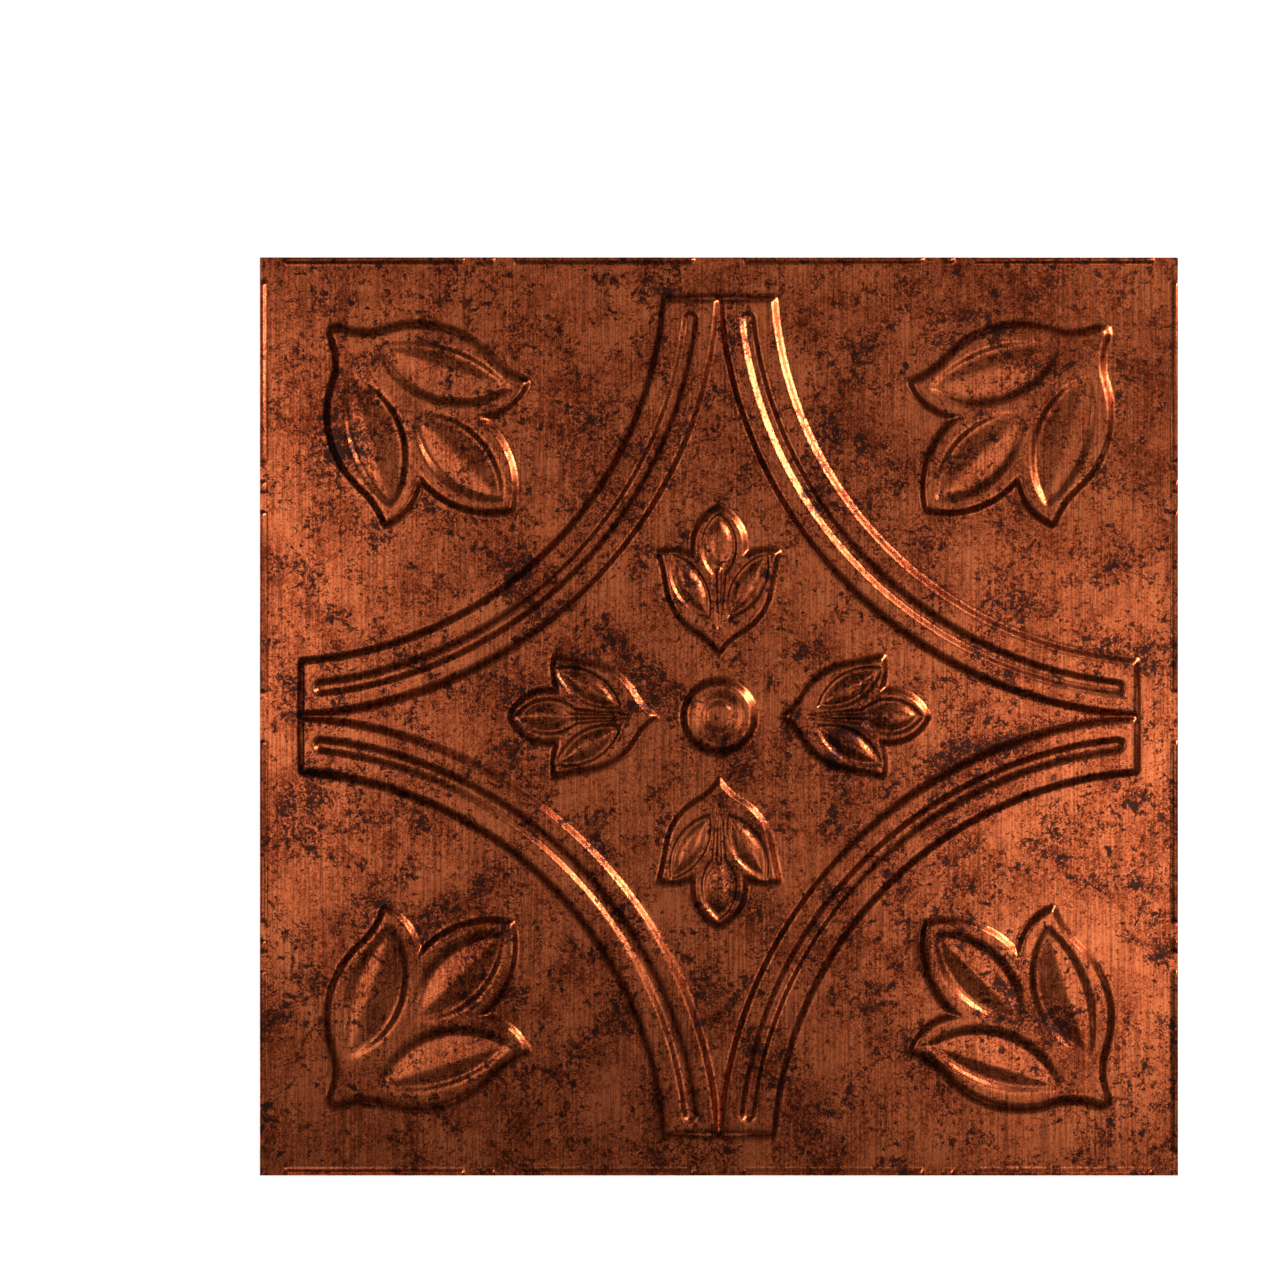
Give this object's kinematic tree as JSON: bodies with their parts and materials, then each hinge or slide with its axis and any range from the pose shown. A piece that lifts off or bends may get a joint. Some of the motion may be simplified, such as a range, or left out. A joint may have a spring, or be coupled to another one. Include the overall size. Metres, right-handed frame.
{
  "type": "ceiling tile",
  "caption": "Square thin vinyl ceiling tile embossed with arched ribbons, corner leaf clusters, flowers and a rosette, in a satin aged-copper film finish.",
  "frame": {"origin": "middle of the flat back, on the plane that the tile lies on", "axes": "+Z out of the patterned face, +X and +Y along the edges"},
  "size_m": [0.6032, 0.6032, 0.0052],
  "materials": {
    "copper_film_vinyl": "satin"
  },
  "bodies": {
    "root": {"ceiling_tile": "copper_film_vinyl"}
  },
  "joints": []
}
